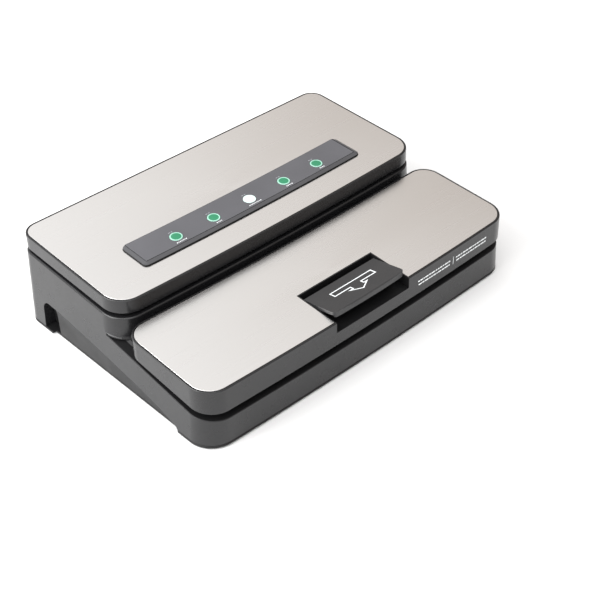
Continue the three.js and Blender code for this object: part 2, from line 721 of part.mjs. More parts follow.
addPart('pump_body', pumpBody(), ZINC);
addPart('pump_motor', rodX(MOTOR.x0, MOTOR.x1, MOTOR.y, MOTOR.z, MOTOR.radius, 24), ZINC);
addPart('cooling_fan', coolingFan(), DARK);
addPart('suction_hose', suctionHose(), SILICONE);
addPart('release_valve', releaseValve(), ZINC);
addPart('transformer', transformer(), COPPER);
addPart('power_board', powerBoard(), BOARD);
addPart('power_inlet', powerInlet(), DARK);
addPart('lid_switch', lidSwitch(), DARK);
addPart('switch_plunger', switchPlunger(), WHITE);

addPart('rear_lid_frame', rearLidFrame(), BLACK);
addPart('rear_lid_plate', cut(lidPlate(REAR_LID, rearLidTopZ), panelRoom()), STEEL);
addPart('rear_lid_liner', rearLidLiner(), DARK);
addPart('panel_bezel', panelBezel(), PANEL_GREY);
addPart('button_board', buttonBoard(), BOARD);
BUTTONS.forEach((spec) => addPart(spec.name, button(spec), spec.material));

addPart('front_lid_frame', frontLidFrame(), BLACK);
addPart('front_lid_plate', frontLidPlate(), STEEL);
addPart('front_lid_liner', frontLidLiner(), DARK);
addPart('upper_gasket', gasketRing(shifted(gasketMidZ, 0.2), shifted(linerZ, -GAP)), SILICONE);
addPart('press_strip', pressStrip(), SILICONE);
addPart('latch_shaft', latchShaft(), ZINC);
addPart('latch_handle', latchHandle(), BLACK);
addPart('handle_pin', rodX(-NOTCH.half - 1, NOTCH.half + 1, HANDLE.pivotY, HANDLE.pivotZ, 1.3, 10), ZINC);

export default machine;
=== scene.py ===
import json
import math

import bmesh
import bpy
from mathutils import Matrix, Vector

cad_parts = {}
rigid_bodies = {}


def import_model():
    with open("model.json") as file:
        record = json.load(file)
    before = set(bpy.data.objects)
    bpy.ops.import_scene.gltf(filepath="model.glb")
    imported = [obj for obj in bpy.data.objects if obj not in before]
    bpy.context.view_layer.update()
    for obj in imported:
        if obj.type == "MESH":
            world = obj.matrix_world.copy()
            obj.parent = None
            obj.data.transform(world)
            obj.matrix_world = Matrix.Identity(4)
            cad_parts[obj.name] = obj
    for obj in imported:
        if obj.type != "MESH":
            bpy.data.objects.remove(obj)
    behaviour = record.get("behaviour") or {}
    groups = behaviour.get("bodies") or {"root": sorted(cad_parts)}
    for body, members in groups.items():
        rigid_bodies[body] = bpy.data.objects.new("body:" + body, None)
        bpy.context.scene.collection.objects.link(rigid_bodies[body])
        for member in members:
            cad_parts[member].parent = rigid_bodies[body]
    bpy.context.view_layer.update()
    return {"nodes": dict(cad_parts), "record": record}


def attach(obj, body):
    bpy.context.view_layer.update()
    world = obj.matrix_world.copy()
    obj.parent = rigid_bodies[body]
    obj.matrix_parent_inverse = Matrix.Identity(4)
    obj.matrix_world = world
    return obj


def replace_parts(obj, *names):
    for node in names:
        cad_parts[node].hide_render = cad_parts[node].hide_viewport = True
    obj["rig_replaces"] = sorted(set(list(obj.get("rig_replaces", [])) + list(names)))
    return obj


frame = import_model()

# Countertop vacuum bag sealer. Lengths below are millimetres in the part's own frame:
# +X to the right, -Y to the front, +Z up, origin on the table under the middle of the machine.
MM = 0.001
CORNER_STEPS = 14
EDGE_STEPS = 36

# ---- driving dimensions, the same as the CAD part's ----
GAP = 0.3
WALL = 2.4
BASE = dict(half=198, front=-140.3, bow=3.5, rear=141, rear_bow=0, radius=26, rear_radius=15)
BLOCK = dict(half=198, front=-18.5, bow=3.6, rear=141, rear_bow=0, radius=26, rear_radius=15)
REAR_LID = dict(half=192, front=-18.3, bow=3.6, rear=140, rear_bow=0, radius=25, rear_radius=16)
FRONT_LID = dict(half=196, front=-141, bow=3.75, rear=-26.1, rear_bow=3.45, radius=24, rear_radius=20)
PANEL = dict(half=138.5, front=11.8, bow=1.9, rear=49.7, rear_bow=1.9, radius=5, rear_radius=5)
PAN_BOTTOM = 1.5
PAN_TOP = 4
SIDE_DRAFT = 0.062
REAR_DRAFT = 0.012
PLATE_THICKNESS = 1
SKIN = 2
RIM_WIDTH = 2
LINER_RISE = 1.5
PANEL_RISE = 2.8
PANEL_BEVEL_WIDTH = 3.6
PANEL_BEVEL_DROP = 1.2
BUTTON_PITCH = 45.4
BUTTON_RADIUS = 6.4
BUTTON_COUNT = 5
NOTCH = dict(half=47, rear=-90.8, floor=54.4, rim=0.9)
HANDLE = dict(half=45.6, rear=-95.5, front=-137, rear_drop=2, front_rise=7.5, thickness=3.4,
              pivot_y=-98, pivot_z=63.6, bore=1.6)
REAR_HINGE = dict(y=137.5, z=86.5, radius=3.5, lugs=(92, 104), knuckle=(104.6, 121), foot=79, top=95)
FRONT_HINGE = dict(y=-29.5, z=66, radius=3.5, lugs=(146, 152), knuckle=(152.6, 165), foot=48, top=70.2)
PIN_BORE = 1.8
RECESS_FACE = 194
RECESS = [(100, -1), (100, 35.6), (84, 35.4), (46.4, 31.2), (4.8, 25.9), (-34.5, 20.2), (-70, 13.6),
          (-92.5, 7), (-95.5, -1)]
GRIP = dict(front=91, rear=111, top=36, face=186)
TROUGH = dict(half=148, front=-84, rear=-50)
GASKET = dict(half=160, front=-95, rear=-39, radius=14)
HEATER = dict(half=155, y=-112.5, width=10)
ROLL = dict(half=152, y=90, z=60, radius=36)
FOOT = dict(radius=9, height=2.2, places=((168, -112), (168, 124)))
SCREW = dict(shank=1.8, head=3.3, places=((150, -129), (171, 98)))
HOOK_SLOT = dict(x=176, half=5, y=(-125.5, -99.5), z=(20, 60))
SWITCH = dict(x=176, y=-70, radius=2.4)
INLET = dict(x=-128, z=25, width=30, height=22)
VENT = dict(count=6, left=-110, pitch=9, width=4.5, front=-4, rear=30)
BOARD_WINDOW = dict(half=118, front=19, rear=41)
THROUGH_DECK = (30, 60)
REAR_LID_SLOPE = 0.0572

# ---- dimensions of the outer surface only ----
PAST_SIDE = 215
WELL_DEPTH = 2.3
DECK_EDGE = dict(radius=0.9, depth=2.2, width=12, end=6)
FILM_EDGE = PANEL_BEVEL_WIDTH + 1.0
PRINT_RISE = 0.06
PRINT_SINK = 0.02


def deck(y):
    return 33.5 + 0.145 * (y + 140.5)


def block_top(y):
    return 74 + 0.06 * (y + 15.5)


def rear_lid_top(y):
    return 93.1 + REAR_LID_SLOPE * (y + 12.7)


def rear_lid_bottom(y):
    return 78.6 + 0.05 * (y + 14.5)


def front_lid_top(y):
    return 66 + 0.0669 * (y + 135.2)


def front_lid_bottom(y):
    return 40 + 0.11 * (y + 140.5)


def panel_top(y):
    return rear_lid_top(y) + PANEL_RISE


def button_y(x):
    return 27.8 + 3.6 * (x / 190) ** 2


def level(z):
    return lambda y: z


# ---- plan outlines ----
def arc(cx, cy, radius, start, end, steps):
    turns = [start + (end - start) * i / steps for i in range(steps + 1)]
    return [(cx + radius * math.cos(a), cy + radius * math.sin(a)) for a in turns]


def bowed_edge(half, edge_y, bow, radius, facing):
    """Centre, radius and corner circle of a shallow arc across the width."""
    arc_radius = (half ** 2 + bow ** 2) / (2 * bow)
    centre_y = edge_y + arc_radius
    corner_x = half - radius
    corner_y = centre_y - math.sqrt((arc_radius - facing * radius) ** 2 - corner_x ** 2)
    return arc_radius, centre_y, corner_x, corner_y, math.atan2(corner_y - centre_y, corner_x)


def front_edge(plan):
    """The front of an outline from its left side to its right side, corners included."""
    radius = plan["radius"]
    corner_x, corner_y, start = plan["half"] - radius, plan["front"] + radius, -math.pi / 2
    edge = []
    if plan["bow"] > 0:
        bowed = bowed_edge(plan["half"], plan["front"], plan["bow"], radius, 1)
        arc_radius, centre_y, corner_x, corner_y, start = bowed
        edge = arc(0, centre_y, arc_radius, -math.pi - start, start, EDGE_STEPS)
    left = arc(-corner_x, corner_y, radius, math.pi, 2 * math.pi + (-math.pi - start), CORNER_STEPS)
    return left + edge + arc(corner_x, corner_y, radius, start, 0, CORNER_STEPS)


def rear_edge(plan):
    radius, rear = plan["rear_radius"], plan["rear"]
    if plan["rear_bow"] > 0:
        bowed = bowed_edge(plan["half"], rear, plan["rear_bow"], radius, -1)
        arc_radius, centre_y, corner_x, corner_y, angle = bowed
        turn = angle + math.pi
        return (arc(corner_x, corner_y, radius, 0, turn, CORNER_STEPS)
                + arc(0, centre_y, arc_radius, angle, -math.pi - angle, EDGE_STEPS)
                + arc(-corner_x, corner_y, radius, math.pi - turn, math.pi, CORNER_STEPS))
    corner_x = plan["half"] - radius
    return (arc(corner_x, rear - radius, radius, 0, math.pi / 2, CORNER_STEPS)
            + arc(-corner_x, rear - radius, radius, math.pi / 2, math.pi, CORNER_STEPS))


def quarter_turn(steps):
    return [math.pi / 2 * i / steps for i in range(steps + 1)]


def without_repeats(points, closed=True):
    kept = [p for i, p in enumerate(points) if i == 0 or math.dist(p, points[i - 1]) > 1e-4]
    if closed and math.dist(kept[0], kept[-1]) <= 1e-4:
        kept.pop()
    return kept


def outline(plan):
    return without_repeats(front_edge(plan) + rear_edge(plan))


def inset(plan, wall, rear_wall=None):
    rear_wall = wall if rear_wall is None else rear_wall
    return dict(plan, half=plan["half"] - wall, front=plan["front"] + wall, rear=plan["rear"] - rear_wall,
                radius=plan["radius"] - wall, rear_radius=plan["rear_radius"] - wall)


def rounded_rect(half, front, rear, radius):
    return dict(half=half, front=front, bow=0, rear=rear, rear_bow=0, radius=radius, rear_radius=radius)


def drafted(x, y, z):
    """Moulding draft: the sides and the rear of the base lean in as they rise."""
    rise = z - PAN_BOTTOM
    rear = REAR_DRAFT * rise * (y / BASE["rear"]) if y > 0 else 0
    return x * (1 - SIDE_DRAFT * rise / BASE["half"]), y - rear, z


def upright(x, y, z):
    return x, y, z


# ---- mesh helpers ----
def new_object(name, verts, faces):
    data = bpy.data.meshes.new(name)
    data.from_pydata([(x * MM, y * MM, z * MM) for x, y, z in verts], [], faces)
    data.validate()
    piece = bpy.data.objects.new(name, data)
    bpy.context.scene.collection.objects.link(piece)
    return piece


def recalculate(piece):
    """Merges doubled points and turns every face outwards."""
    mesh = bmesh.new()
    mesh.from_mesh(piece.data)
    bmesh.ops.remove_doubles(mesh, verts=mesh.verts, dist=2e-6)
    bmesh.ops.recalc_face_normals(mesh, faces=mesh.faces)
    mesh.to_mesh(piece.data)
    mesh.free()
    return piece


def loft(name, rings, cap=True, wrap=False):
    """A skin through rings of equal length, closed by flat caps or joined end to start."""
    count = len(rings[0])
    verts = [point for ring in rings for point in ring]
    faces = []
    spans = len(rings) if wrap else len(rings) - 1
    for step in range(spans):
        low, high = step * count, ((step + 1) % len(rings)) * count
        for i in range(count):
            j = (i + 1) % count
            faces.append((low + i, low + j, high + j, high + i))
    if cap and not wrap:
        faces.append(tuple(reversed(range(count))))
        faces.append(tuple(range(len(verts) - count, len(verts))))
    return recalculate(new_object(name, verts, faces))


def ring(plan, surface, rise=0.0, shape=upright):
    return [shape(x, y, surface(y) + rise) for x, y in outline(plan)]


def stack(name, plan, levels, shape=upright):
    """Levels are (inset, surface, rise) from the bottom to the top."""
    return loft(name, [ring(inset(plan, wall), surface, rise, shape) for wall, surface, rise in levels])


def round_over(surface, radius, wall=0.0, steps=5):
    """Levels of a rounded top edge, from the side up and inwards."""
    turns = quarter_turn(steps)
    return [(wall + radius * (1 - math.cos(a)), surface, radius * (math.sin(a) - 1)) for a in turns]


def round_under(surface, radius):
    """Levels of a rounded bottom edge, from underneath outwards and up."""
    turns = quarter_turn(5)
    return [(radius * (1 - math.sin(a)), surface, radius * (1 - math.cos(a))) for a in turns]


def push_x(name, points, x0, x1):
    """A YZ outline pushed along X."""
    count = len(points)
    verts = [(x, y, z) for x in (x0, x1) for y, z in points]
    faces = [(i, (i + 1) % count, count + (i + 1) % count, count + i) for i in range(count)]
    faces += [tuple(range(count)), tuple(reversed(range(count, 2 * count)))]
    return recalculate(new_object(name, verts, faces))


def block(name, x, y, z):
    return push_x(name, [(y[0], z[0]), (y[1], z[0]), (y[1], z[1]), (y[0], z[1])], x[0], x[1])


def rod_x(name, x, y, z, radius, sides=32):
    points = arc(y, z, radius, 0, 2 * math.pi, sides)[:-1]
    return push_x(name, points, x[0], x[1])


def lathe(name, profile, centre, tilt=0.0, sides=48):
    """A closed (radius, height) profile turned about an upright axis through centre, then tilted about X."""
    rings = []
    for i in range(sides):
        a = 2 * math.pi * i / sides
        rings.append([(r * math.cos(a), r * math.sin(a), h) for r, h in profile])
    turn = Matrix.Rotation(tilt, 3, "X")
    rings = [[tuple(turn @ Vector(p) + Vector(centre)) for p in one] for one in rings]
    count = len(profile)
    verts = [p for one in rings for p in one]
    faces = []
    for i in range(sides):
        low, high = i * count, ((i + 1) % sides) * count
        faces += [(low + j, high + j, high + j + 1, low + j + 1) for j in range(count - 1)]
    return recalculate(new_object(name, verts, faces))


def drum(name, centre, z, radius, sides=32):
    x, y = centre
    return lathe(name, [(0, z[0]), (radius, z[0]), (radius, z[1]), (0, z[1])], (x, y, 0), sides=sides)


def combine(piece, tools, operation):
    """Cuts or joins the tools with the piece for good, and removes the tools."""
    for tool in tools:
        modifier = piece.modifiers.new(operation, "BOOLEAN")
        modifier.operation = operation
        modifier.solver = "EXACT"
        modifier.object = tool
    depsgraph = bpy.context.evaluated_depsgraph_get()
    result = bpy.data.meshes.new_from_object(piece.evaluated_get(depsgraph))
    piece.modifiers.clear()
    piece.data = result
    for tool in tools:
        bpy.data.objects.remove(tool)
    return recalculate(piece)


def cut(piece, *tools):
    return combine(piece, tools, "DIFFERENCE")


def join(piece, *tools):
    return combine(piece, tools, "UNION")


def both_sides(make):
    return [make(side) for side in (-1, 1)]


def span(side, a, b):
    return min(side * a, side * b), max(side * a, side * b)


def smooth(piece, degrees=32):
    """Smooth shading that keeps real edges sharp and flat faces flat."""
    piece.data.shade_smooth()
    piece.data.set_sharp_from_angle(angle=math.radians(degrees))
    weighted = piece.modifiers.new("weighted", "WEIGHTED_NORMAL")
    weighted.keep_sharp = True
    return piece


def soften(piece, width, segments, degrees):
    """A small rounded edge on every real corner."""
    bevel = piece.modifiers.new("edge", "BEVEL")
    bevel.width = width * MM
    bevel.segments = segments
    bevel.limit_method = "ANGLE"
    bevel.angle_limit = math.radians(degrees)
    bevel.use_clamp_overlap = True


def paint_faces(piece, material, chosen):
    """Gives one more material to the faces that are chosen by their centre and normal."""
    piece.data.materials.append(material)
    index = len(piece.data.materials) - 1
    for face in piece.data.polygons:
        x, y, z = [c / MM for c in face.center]
        if chosen(x, y, z, face.normal):
            face.material_index = index


def finish_piece(piece, body, material, replaces=()):
    piece.data.materials.clear()
    piece.data.materials.append(material)
    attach(piece, body)
    if replaces:
        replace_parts(piece, *replaces)


# ---- materials ----
class Nodes:
    """A material's node tree, built a node at a time."""

    def __init__(self, name):
        self.material = bpy.data.materials.new(name)
        self.material.use_nodes = True
        self.tree = self.material.node_tree
        self.shader = self.tree.nodes["Principled BSDF"]
        self.place = self.add("ShaderNodeTexCoord").outputs["Object"]

    def add(self, kind, **values):
        node = self.tree.nodes.new(kind)
        for key, value in values.items():
            setattr(node, key, value)
        return node

    def link(self, source, target):
        self.tree.links.new(source, target)

    def set(self, **values):
        for key, value in values.items():
            self.shader.inputs[key.replace("_", " ")].default_value = value

    def noise(self, scale, stretch=(1, 1, 1), detail=3.0, roughness=0.55):
        mapping = self.add("ShaderNodeMapping")
        mapping.inputs["Scale"].default_value = stretch
        self.link(self.place, mapping.inputs["Vector"])
        noise = self.add("ShaderNodeTexNoise")
        noise.inputs["Scale"].default_value = scale
        noise.inputs["Detail"].default_value = detail
        noise.inputs["Roughness"].default_value = roughness
        self.link(mapping.outputs["Vector"], noise.inputs["Vector"])
        return noise.outputs["Fac"]

    def ramp(self, source, low, high):
        """Maps a 0 to 1 pattern's busy middle onto two colours or two greys."""
        ramp = self.add("ShaderNodeValToRGB")
        ramp.color_ramp.elements[0].position = 0.3
        ramp.color_ramp.elements[1].position = 0.7
        for element, value in zip(ramp.color_ramp.elements, (low, high)):
            element.color = (value, value, value, 1) if isinstance(value, float) else (*value, 1)
        self.link(source, ramp.inputs["Fac"])
        return ramp.outputs["Color"]

    def bump(self, source, strength, distance):
        bump = self.add("ShaderNodeBump")
        bump.inputs["Strength"].default_value = strength
        bump.inputs["Distance"].default_value = distance * MM
        self.link(source, bump.inputs["Height"])
        self.link(bump.outputs["Normal"], self.shader.inputs["Normal"])


def scaled(colour, factor):
    return tuple(min(1.0, c * factor) for c in colour)


def moulded(name, colour, roughness, grain=1900, depth=0.02, spread=0.05, specular=0.5):
    """Moulded plastic or rubber: a fine spark-eroded grain, faint flow marks and uneven gloss."""
    made = Nodes(name)
    flow = made.noise(14, detail=4.0)
    made.link(made.ramp(flow, scaled(colour, 0.9), scaled(colour, 1.12)), made.shader.inputs["Base Color"])
    patches = made.noise(60, detail=5.0)
    rough = made.ramp(patches, roughness - spread, roughness + spread)
    made.link(rough, made.shader.inputs["Roughness"])
    made.bump(made.noise(grain, detail=2.0), 0.2, depth)
    made.shader.inputs["Specular IOR Level"].default_value = specular
    return made.material


def brushed(name, colour, roughness):
    """Brushed sheet metal: long fine scratches along X, with slow changes of gloss."""
    made = Nodes(name)
    scratches = made.noise(1.0, stretch=(4, 1500, 4), detail=6.0, roughness=0.7)
    tones = made.ramp(scratches, scaled(colour, 0.99), scaled(colour, 1.01))
    made.link(tones, made.shader.inputs["Base Color"])
    gloss = made.noise(1.0, stretch=(6, 500, 6), detail=4.0)
    made.link(made.ramp(gloss, roughness - 0.02, roughness + 0.02), made.shader.inputs["Roughness"])
    made.bump(scratches, 0.05, 0.003)
    made.set(Metallic=1.0, Anisotropic=0.35)
    return made.material


def woven(name, colour):
    """Glass cloth coated with PTFE: a plain weave in two tones."""
    made = Nodes(name)
    threads = []
    for axis in ("X", "Y"):
        wave = made.add("ShaderNodeTexWave", bands_direction=axis, wave_profile="SIN")
        wave.inputs["Scale"].default_value = 480
        made.link(made.place, wave.inputs["Vector"])
        threads.append(wave.outputs["Fac"])
    weave = made.add("ShaderNodeMath", operation="MULTIPLY")
    made.link(threads[0], weave.inputs[0])
    made.link(threads[1], weave.inputs[1])
    tones = made.ramp(weave.outputs[0], scaled(colour, 0.7), scaled(colour, 1.3))
    made.link(tones, made.shader.inputs["Base Color"])
    made.bump(weave.outputs[0], 0.5, 0.08)
    made.link(made.ramp(made.noise(90), 0.42, 0.6), made.shader.inputs["Roughness"])
    return made.material


def cast(name, colour, roughness):
    """As-cast or zinc-plated metal: a mottled skin with a shallow grain."""
    made = Nodes(name)
    mottle = made.noise(120, detail=6.0)
    made.link(made.ramp(mottle, scaled(colour, 0.85), scaled(colour, 1.15)), made.shader.inputs["Base Color"])
    made.link(made.ramp(made.noise(45), roughness - 0.08, roughness + 0.08), made.shader.inputs["Roughness"])
    made.bump(mottle, 0.3, 0.06)
    made.set(Metallic=1.0)
    return made.material


BLACK = moulded("black_satin_plastic", (0.011, 0.011, 0.012), 0.25)
# Real dark plastic for the bottom pan and the dark CAD parts; also painted shade on the deck rebate under the
# front lid, inside the lever's well, and on the panel's walls and key wells.
DARK_PLASTIC_AND_PAINTED_SHADE = moulded("dark_matte_plastic_and_painted_shade", (0.006, 0.006, 0.0065), 0.5, grain=1200, depth=0.04, specular=0.3)
# Painted shade: a darker, rougher plastic for the side recess and grip faces of the base.
RECESS_PAINTED_SHADE = moulded("recess_painted_shade_plastic", (0.008, 0.008, 0.0085), 0.42, specular=0.32)
LEVER_BLACK = moulded("lever_plastic", (0.026, 0.026, 0.0275), 0.42, grain=1500, depth=0.06)
PLATE = brushed("brushed_steel_plate", (0.79, 0.775, 0.76), 0.26)
ZINC = cast("zinc_plate", (0.46, 0.46, 0.47), 0.36)
CAST = cast("cast_aluminium", (0.55, 0.55, 0.57), 0.48)
PANEL_LIP = moulded("panel_lip", (0.062, 0.062, 0.067), 0.34, grain=1700)
PANEL_FILM = moulded("panel_film", (0.092, 0.092, 0.102), 0.42, grain=2600, spread=0.03)
PAD_GREEN = moulded("pad_green", (0.02, 0.22, 0.105), 0.38, grain=2400)
PAD_MINT = moulded("pad_mint", (0.33, 0.60, 0.49), 0.36, grain=2400)
PAD_WHITE = moulded("pad_white", (0.68, 0.82, 0.79), 0.36, grain=2400)
PRINT = moulded("white_print", (0.80, 0.83, 0.84), 0.5, grain=2600, depth=0.01)
PRINT_DIM = moulded("pale_print", (0.36, 0.38, 0.41), 0.5, grain=2600, depth=0.01)
RUBBER = moulded("foot_rubber", (0.028, 0.028, 0.03), 0.72, grain=900, depth=0.12)
SILICONE = moulded("grey_silicone", (0.15, 0.16, 0.17), 0.58, grain=1300, depth=0.06)
TAPE = woven("ptfe_tape", (0.42, 0.2, 0.06))
BOARD = moulded("circuit_board", (0.02, 0.12, 0.05), 0.35, grain=500, depth=0.04)

SLOT_MATERIALS = {
    "black_plastic": BLACK, "dark_plastic": DARK_PLASTIC_AND_PAINTED_SHADE, "steel_plate": PLATE, "zinc_steel": ZINC,
    "cast_aluminium": CAST, "panel_grey": PANEL_LIP, "pad_green": PAD_GREEN, "pad_white": PAD_WHITE,
    "foot_rubber": RUBBER, "silicone": SILICONE, "ptfe_tape": TAPE, "circuit_board": BOARD,
}


# ---- the base ----
def step_tool(wall):
    """The space over the deck in front of the rear block, with a soft foot and a rounded top edge."""
    foot, edge, reach, clear = 2.0, 1.8, 235, 12
    levels = [(-foot * (1 - math.sin(a)), deck, foot * (1 - math.cos(a))) for a in quarter_turn(4)]
    levels += round_over(block_top, edge) + [(edge, block_top, clear)]
    rings = []
    for rounding, surface, rise in levels:
        edge_points = without_repeats(front_edge(inset(BLOCK, wall + rounding)), closed=False)
        end_y = edge_points[0][1]
        far = [(reach, end_y), (reach, -reach), (-reach, -reach), (-reach, end_y)]
        rings.append([drafted(x, y, surface(y) + rise - wall) for x, y in edge_points + far])
    return loft("step_tool", rings)


def deck_edge_tool():
    """A shallow rebate with a rounded outer edge, round the front and both sides of the deck."""
    radius, depth, width, end_y = (DECK_EDGE[key] for key in ("radius", "depth", "width", "end"))
    outside, over = -2.0, 0.02
    section = [(outside, -depth - radius)] + [(w, r - depth) for w, _, r in round_over(deck, radius)]
    section += [(width - depth, -depth), (width, over), (outside, over)]
    rings = []
    for wall, rise in section:
        edge = without_repeats(front_edge(inset(BASE, wall)), closed=False)
        edge = [(edge[0][0], end_y)] + edge + [(edge[-1][0], end_y)]
        rings.append([drafted(x, y, deck(y) + rise) for x, y in edge])
    return loft("deck_edge_tool", [list(across) for across in zip(*rings)])


def grip_outline(grow):
    middle = (GRIP["front"] + GRIP["rear"]) / 2
    radius = (GRIP["rear"] - GRIP["front"]) / 2 + grow
    top = GRIP["top"] + grow - radius
    return [(middle - radius, -1), (middle + radius, -1)] + arc(middle, top, radius, 0, math.pi, 20)


def side_recess(side, wall=0):
    return push_x("recess", RECESS, *span(side, RECESS_FACE - wall, PAST_SIDE))


def side_grip(side, wall=0):
    return push_x("grip", grip_outline(wall), *span(side, GRIP["face"] - wall, PAST_SIDE))


def corner_places(item):
    return [(side * x, y) for side in (-1, 1) for x, y in item["places"]]


def lug(side, hinge):
    """An upright tab with a round top for the hinge pin."""
    y, z, radius, foot = (hinge[key] for key in ("y", "z", "radius", "foot"))
    points = [(y - radius, foot), (y + radius, foot)] + arc(y, z, radius, 0, math.pi, 16)
    return push_x("lug", points, *span(side, *hinge["lugs"]))


def knuckle(side, hinge):
    """The lid's half of the hinge: a round bottom that hangs from the lid."""
    y, z, radius, top = (hinge[key] for key in ("y", "z", "radius", "top"))
    points = [(y + radius, top), (y - radius, top)] + arc(y, z, radius, math.pi, 2 * math.pi, 16)
    return push_x("knuckle", points, *span(side, *hinge["knuckle"]))


def pin_bore(side, hinge):
    ends = span(side, hinge["lugs"][0] - 5, hinge["knuckle"][1] + 5)
    return rod_x("bore", ends, hinge["y"], hinge["z"], PIN_BORE, 20)


def build_housing():
    bottom = PAN_TOP + GAP
    shell = stack("housing_shell", BASE, [(0.5, level(bottom), 0), (0, level(bottom), 0.5)]
                  + round_over(block_top, 1.8), drafted)
    cut(shell, step_tool(0), deck_edge_tool())
    room = stack("room", inset(BASE, WALL), [(0, level(bottom - 1.5), 0), (0, block_top, -WALL)], drafted)
    backs = both_sides(lambda side: side_recess(side, WALL)) + both_sides(lambda side: side_grip(side, WALL))
    bosses = [drum("boss", place, (bottom, 95), 4, 24) for place in corner_places(SCREW)]
    cut(room, step_tool(WALL), *backs, *bosses)
    cut(shell, room, *both_sides(side_recess), *both_sides(side_grip))
    join(shell, *both_sides(lambda side: lug(side, REAR_HINGE)),
         *both_sides(lambda side: lug(side, FRONT_HINGE)))
    roll_y = (ROLL["y"] - ROLL["radius"], ROLL["y"] + ROLL["radius"])
    heater_y = (HEATER["y"] - HEATER["width"] / 2, HEATER["y"] + HEATER["width"] / 2)
    inlet_x = (INLET["x"] - INLET["width"] / 2, INLET["x"] + INLET["width"] / 2)
    inlet_z = (INLET["z"] - INLET["height"] / 2, INLET["z"] + INLET["height"] / 2)
    hook_x = (HOOK_SLOT["x"] - HOOK_SLOT["half"], HOOK_SLOT["x"] + HOOK_SLOT["half"])
    knuckle_room = both_sides(lambda side: rod_x(
        "room", span(side, REAR_HINGE["knuckle"][0] - 0.5, REAR_HINGE["knuckle"][1] + 0.5),
        REAR_HINGE["y"], REAR_HINGE["z"], REAR_HINGE["radius"] + 0.8))
    cut(shell, *knuckle_room,
        *both_sides(lambda side: pin_bore(side, REAR_HINGE)),
        *both_sides(lambda side: pin_bore(side, FRONT_HINGE)),
        *[drum("hole", place, (0, 20), SCREW["shank"], 20) for place in corner_places(SCREW)],
        block("hole", (-ROLL["half"], ROLL["half"]), roll_y, (ROLL["z"], 100)),
        block("hole", (-TROUGH["half"], TROUGH["half"]), (TROUGH["front"], TROUGH["rear"]), THROUGH_DECK),
        block("hole", (-HEATER["half"], HEATER["half"]), heater_y, THROUGH_DECK),
        *both_sides(lambda side: block("hole", span(side, *hook_x), HOOK_SLOT["y"], HOOK_SLOT["z"])),
        drum("hole", (SWITCH["x"], SWITCH["y"]), THROUGH_DECK, SWITCH["radius"], 20),
        block("hole", inlet_x, (120, 150), inlet_z))
    smooth(shell)
    finish_piece(shell, "base", BLACK, ["lower_housing"])
    # Painted shade: the deck's rebate under the front lid gets the dark plastic, so that the gap reads black.
    deck_reach, deck_end = DECK_EDGE["depth"] + 0.7, -8
    paint_faces(shell, DARK_PLASTIC_AND_PAINTED_SHADE, lambda x, y, z, normal:
                abs(z - deck(y)) < deck_reach and y < deck_end and normal.z > 0.5)
    # Painted shade: the side recess and grip faces get the darker recess plastic.
    paint_faces(shell, RECESS_PAINTED_SHADE, lambda x, y, z, normal:
                z < GRIP["top"] and GRIP["face"] - 1 < abs(x) < RECESS_FACE + 0.1 and abs(normal.x) > 0.9)


def build_pan():
    levels = [(0.6, level(PAN_BOTTOM), 0), (0.15, level(PAN_BOTTOM), 0.3), (0, level(PAN_BOTTOM), 0.7),
              (0, level(PAN_TOP), -0.4), (0.4, level(PAN_TOP), 0)]
    pan = stack("pan_shell", BASE, levels, drafted)
    vents = []
    radius = VENT["width"] / 2
    for i in range(VENT["count"]):
        x = VENT["left"] + i * VENT["pitch"] + radius
        points = without_repeats(arc(x, VENT["rear"] - radius, radius, 0, math.pi, 8)
                                 + arc(x, VENT["front"] + radius, radius, math.pi, 2 * math.pi, 8))
        vents.append(loft("vent", [[(px, py, z) for px, py in points] for z in (0, 6)]))
    cut(pan, *both_sides(side_recess), *vents,
        *[drum("pocket", place, (0, PAN_BOTTOM + 1), FOOT["radius"] + GAP) for place in corner_places(FOOT)],
        *[drum("hole", place, (0, 6), SCREW["shank"], 20) for place in corner_places(SCREW)],
        *[drum("hole", place, (0, PAN_BOTTOM + 1.2), SCREW["head"], 24) for place in corner_places(SCREW)])
    smooth(pan)
    finish_piece(pan, "base", DARK_PLASTIC_AND_PAINTED_SHADE, ["bottom_pan"])


def build_feet():
    """Rubber discs with a rounded tread edge and two grip grooves."""
    radius, height = FOOT["radius"], FOOT["height"]
    profile = [(0, height), (radius, height), (radius, 0.7), (radius - 0.2, 0.3), (radius - 0.6, 0.05),
               (radius - 1, 0), (6.6, 0), (6.4, 0.35), (5.8, 0.35), (5.6, 0), (3.6, 0), (3.4, 0.35),
               (2.8, 0.35), (2.6, 0), (0, 0)]
    for hand, side in (("left", -1), ("right", 1)):
        for end, (x, y) in zip(("front", "rear"), FOOT["places"]):
            foot = smooth(lathe(f"rubber_foot_{end}_{hand}", profile, (side * x, y, 0)))
            finish_piece(foot, "base", RUBBER, [f"foot_{end}_{hand}"])


def build_screws():
    """Pan-head screws with a cross recess."""
    for hand, side in (("left", -1), ("right", 1)):
        for end, (x, y) in zip(("front", "rear"), SCREW["places"]):
            low = PAN_BOTTOM - 0.2
            profile = [(0, 14), (1.5, 14), (1.5, low + 1.1), (3, low + 1.1), (3, low + 0.45),
                       (2.6, low + 0.12), (1.8, low), (0, low)]
            screw = lathe(f"cross_screw_{end}_{hand}", profile, (side * x, y, 0), sides=32)
            slots = [block("slot", (side * x - a, side * x + a), (y - b, y + b), (low - 1, low + 0.6))
                     for a, b in ((1.7, 0.35), (0.35, 1.7))]
            smooth(cut(screw, *slots))
            finish_piece(screw, "base", ZINC, [f"pan_screw_{end}_{hand}"])


